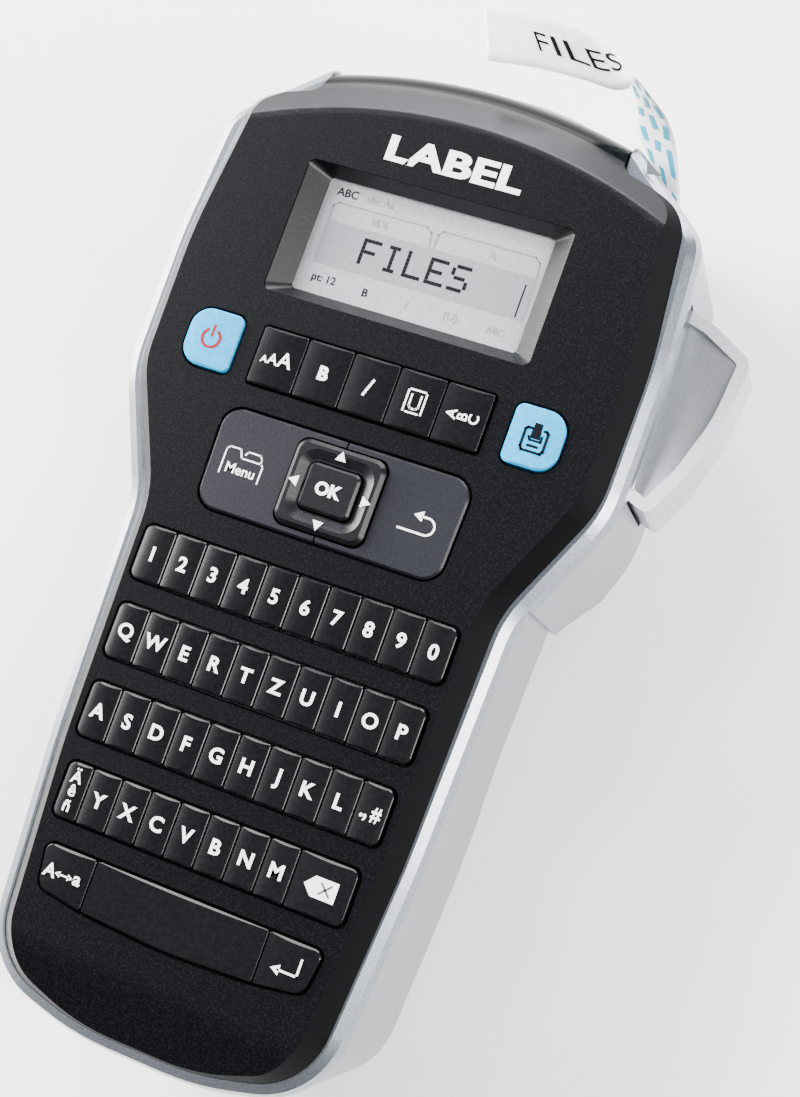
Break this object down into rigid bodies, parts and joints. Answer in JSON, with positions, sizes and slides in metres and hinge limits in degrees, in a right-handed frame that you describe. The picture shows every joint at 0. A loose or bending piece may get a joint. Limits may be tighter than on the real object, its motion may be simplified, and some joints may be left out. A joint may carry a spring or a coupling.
{
  "type": "label maker",
  "caption": "Handheld label maker with key face, sunk display, four-way pad, side cutter lever, tape cassette, print drive and battery bay.",
  "frame": {"origin": "middle of the whole object's footprint, on the surface its back rests on", "axes": "+Z out of the key face, +Y from the grip towards the display and tape exit, +X towards the cutter lever"},
  "size_m": [0.1208, 0.2162, 0.0644],
  "materials": {
    "black_shell": "fine textured",
    "silver_housing": "satin silver lacquer",
    "key_charcoal": "gloss",
    "key_blue": "translucent gloss",
    "panel_blue_grey": "satin",
    "clear_window": "clear",
    "lcd_grey": "satin",
    "silicone": "matte",
    "circuit_board": "solder mask",
    "chip_black": "matte",
    "steel": "plain",
    "nickel": "plated",
    "motor_can": "drawn",
    "gear_plastic": "natural acetal",
    "rubber_black": "matte",
    "rubber_grey": "ground",
    "lever_grey": "satin",
    "cassette_grey": "satin",
    "cassette_clear": "clear",
    "tape_white": "gloss film",
    "ribbon_black": "film",
    "cell_wrap": "printed film",
    "tray_black": "matte"
  },
  "bodies": {
    "casing": {"rear_housing": "silver_housing", "front_shell": "black_shell", "lcd_window": "clear_window", "lcd_module": "lcd_grey", "main_board": "circuit_board", "board_chips": "chip_black", "keypad_mat": "silicone", "dc_jack": "chip_black", "case_screws": "steel", "rubber_feet": "rubber_black", "battery_cells": "cell_wrap", "battery_contacts": "nickel", "battery_tray": "tray_black", "drive_plate": "steel", "motor": "motor_can", "print_head": "motor_can", "cassette_case": "cassette_grey", "cassette_lid": "cassette_clear", "lever_pin": "steel", "lever_spring": "nickel", "tape_strip": "tape_white"},
    "cutter_lever": {"cutter_lever": "lever_grey"},
    "blade_slide": {"blade_carriage": "gear_plastic", "cutter_blade": "steel"},
    "cassette_door": {"cassette_door": "silver_housing", "door_window": "clear_window"},
    "battery_cover": {"battery_cover": "silver_housing"},
    "nav_carrier": {"nav_carrier": "steel"},
    "nav_ring": {"nav_ring": "panel_blue_grey"},
    "platen": {"platen_roller": "rubber_grey", "platen_shaft": "steel", "platen_gear": "gear_plastic"},
    "idler_gear": {"idler_gear": "gear_plastic"},
    "motor_pinion": {"motor_pinion": "gear_plastic"},
    "takeup": {"takeup_spindle": "gear_plastic", "ribbon_takeup": "ribbon_black"},
    "tape_roll": {"tape_roll": "tape_white"},
    "ribbon_supply": {"ribbon_supply": "ribbon_black"},
    "number_keys": {"number_keys": "key_charcoal"},
    "upper_letter_keys": {"upper_letter_keys": "key_charcoal"},
    "home_letter_keys": {"home_letter_keys": "key_charcoal"},
    "lower_letter_keys": {"lower_letter_keys": "key_charcoal"},
    "accent_key": {"accent_key": "key_charcoal"},
    "backspace_key": {"backspace_key": "key_charcoal"},
    "case_key": {"case_key": "key_charcoal"},
    "space_key": {"space_key": "key_charcoal"},
    "enter_key": {"enter_key": "key_charcoal"},
    "size_key": {"size_key": "key_charcoal"},
    "bold_key": {"bold_key": "key_charcoal"},
    "italic_key": {"italic_key": "key_charcoal"},
    "frame_key": {"frame_key": "key_charcoal"},
    "vertical_key": {"vertical_key": "key_charcoal"},
    "power_key": {"power_key": "key_blue"},
    "print_key": {"print_key": "key_blue"},
    "menu_key": {"menu_key": "panel_blue_grey"},
    "back_key": {"back_key": "panel_blue_grey"},
    "ok_key": {"ok_key": "panel_blue_grey"}
  },
  "joints": [
    {"name": "number_keys_press", "type": "slide", "parent": "casing", "child": "number_keys", "axis": [0, 0, -1], "range_m": [0, 0.0008], "stiffness_N_per_m": 900, "springref_m": -0.0003},
    {"name": "upper_letter_keys_press", "type": "slide", "parent": "casing", "child": "upper_letter_keys", "axis": [0, 0, -1], "range_m": [0, 0.0008], "stiffness_N_per_m": 900, "springref_m": -0.0003},
    {"name": "home_letter_keys_press", "type": "slide", "parent": "casing", "child": "home_letter_keys", "axis": [0, 0, -1], "range_m": [0, 0.0008], "stiffness_N_per_m": 900, "springref_m": -0.0003},
    {"name": "lower_letter_keys_press", "type": "slide", "parent": "casing", "child": "lower_letter_keys", "axis": [0, 0, -1], "range_m": [0, 0.0008], "stiffness_N_per_m": 900, "springref_m": -0.0003},
    {"name": "accent_key_press", "type": "slide", "parent": "casing", "child": "accent_key", "axis": [0, 0, -1], "range_m": [0, 0.0008], "stiffness_N_per_m": 900, "springref_m": -0.0003},
    {"name": "backspace_key_press", "type": "slide", "parent": "casing", "child": "backspace_key", "axis": [0, 0, -1], "range_m": [0, 0.0008], "stiffness_N_per_m": 900, "springref_m": -0.0003},
    {"name": "case_key_press", "type": "slide", "parent": "casing", "child": "case_key", "axis": [0, 0, -1], "range_m": [0, 0.0008], "stiffness_N_per_m": 900, "springref_m": -0.0003},
    {"name": "space_key_press", "type": "slide", "parent": "casing", "child": "space_key", "axis": [0, 0, -1], "range_m": [0, 0.0008], "stiffness_N_per_m": 900, "springref_m": -0.0003},
    {"name": "enter_key_press", "type": "slide", "parent": "casing", "child": "enter_key", "axis": [0, 0, -1], "range_m": [0, 0.0008], "stiffness_N_per_m": 900, "springref_m": -0.0003},
    {"name": "size_key_press", "type": "slide", "parent": "casing", "child": "size_key", "axis": [0, 0, -1], "range_m": [0, 0.0008], "stiffness_N_per_m": 900, "springref_m": -0.0003},
    {"name": "bold_key_press", "type": "slide", "parent": "casing", "child": "bold_key", "axis": [0, 0, -1], "range_m": [0, 0.0008], "stiffness_N_per_m": 900, "springref_m": -0.0003},
    {"name": "italic_key_press", "type": "slide", "parent": "casing", "child": "italic_key", "axis": [0, 0, -1], "range_m": [0, 0.0008], "stiffness_N_per_m": 900, "springref_m": -0.0003},
    {"name": "frame_key_press", "type": "slide", "parent": "casing", "child": "frame_key", "axis": [0, 0, -1], "range_m": [0, 0.0008], "stiffness_N_per_m": 900, "springref_m": -0.0003},
    {"name": "vertical_key_press", "type": "slide", "parent": "casing", "child": "vertical_key", "axis": [0, 0, -1], "range_m": [0, 0.0008], "stiffness_N_per_m": 900, "springref_m": -0.0003},
    {"name": "power_key_press", "type": "slide", "parent": "casing", "child": "power_key", "axis": [0, 0, -1], "range_m": [0, 0.0008], "stiffness_N_per_m": 900, "springref_m": -0.0003},
    {"name": "print_key_press", "type": "slide", "parent": "casing", "child": "print_key", "axis": [0, 0, -1], "range_m": [0, 0.0008], "stiffness_N_per_m": 900, "springref_m": -0.0003},
    {"name": "menu_key_press", "type": "slide", "parent": "casing", "child": "menu_key", "axis": [0, 0, -1], "range_m": [0, 0.0008], "stiffness_N_per_m": 900, "springref_m": -0.0003},
    {"name": "back_key_press", "type": "slide", "parent": "casing", "child": "back_key", "axis": [0, 0, -1], "range_m": [0, 0.0008], "stiffness_N_per_m": 900, "springref_m": -0.0003},
    {"name": "ok_key_press", "type": "slide", "parent": "casing", "child": "ok_key", "axis": [0, 0, -1], "range_m": [0, 0.0008], "stiffness_N_per_m": 900, "springref_m": -0.0003},
    {"name": "nav_tilt_up_down", "type": "hinge", "parent": "casing", "child": "nav_carrier", "pos_m": [-0.00654, 0.00734, 0.0478], "axis": [1, 0, 0], "range_deg": [-2.5, 2.5], "stiffness_Nm_per_rad": 0.08},
    {"name": "nav_tilt_left_right", "type": "hinge", "parent": "nav_carrier", "child": "nav_ring", "pos_m": [-0.00654, 0.00734, 0.04842], "axis": [0, 1, 0], "range_deg": [-2.5, 2.5], "stiffness_Nm_per_rad": 0.08},
    {"name": "lever_hinge", "type": "hinge", "parent": "casing", "child": "cutter_lever", "pos_m": [0.04406, 0.02909, 0.03], "axis": [0, 0, 1], "range_deg": [0, 12], "stiffness_Nm_per_rad": 0.5, "springref_deg": -11.46},
    {"name": "blade_travel", "type": "slide", "parent": "casing", "child": "blade_slide", "axis": [0, 0, -1], "range_m": [0, 0.0042]},
    {"name": "cassette_door_hinge", "type": "hinge", "parent": "casing", "child": "cassette_door", "pos_m": [-0.00654, 0.02009, 0.0013], "axis": [-1, 0, 0], "range_deg": [0, 100]},
    {"name": "battery_cover_lift", "type": "slide", "parent": "casing", "child": "battery_cover", "axis": [0, 0, -1], "range_m": [0, 0.03]},
    {"name": "platen_turn", "type": "hinge", "parent": "casing", "child": "platen", "pos_m": [0.02446, 0.08009, 0.012], "axis": [0, 0, 1], "continuous": true},
    {"name": "idler_turn", "type": "hinge", "parent": "casing", "child": "idler_gear", "pos_m": [0.02053, 0.06665, 0.025], "axis": [0, 0, 1], "continuous": true},
    {"name": "motor_turn", "type": "hinge", "parent": "casing", "child": "motor_pinion", "pos_m": [0.02146, 0.05469, 0.025], "axis": [0, 0, 1], "continuous": true},
    {"name": "takeup_turn", "type": "hinge", "parent": "casing", "child": "takeup", "pos_m": [0.00644, 0.06152, 0.012], "axis": [0, 0, 1], "continuous": true},
    {"name": "tape_roll_turn", "type": "hinge", "parent": "casing", "child": "tape_roll", "pos_m": [-0.02054, 0.04909, 0.012], "axis": [0, 0, 1], "continuous": true},
    {"name": "ribbon_supply_turn", "type": "hinge", "parent": "casing", "child": "ribbon_supply", "pos_m": [0.00546, 0.03609, 0.012], "axis": [0, 0, 1], "continuous": true}
  ],
  "couplings": [
    {"joint": "blade_travel", "follows": "lever_hinge", "m_per_rad": 0.0191},
    {"joint": "platen_turn", "follows": "tape_roll_turn", "ratio": -5},
    {"joint": "idler_turn", "follows": "tape_roll_turn", "ratio": 2.7778},
    {"joint": "motor_turn", "follows": "tape_roll_turn", "ratio": -8.3333},
    {"joint": "takeup_turn", "follows": "tape_roll_turn", "ratio": -4.1667},
    {"joint": "ribbon_supply_turn", "follows": "tape_roll_turn", "ratio": -2.4286}
  ]
}
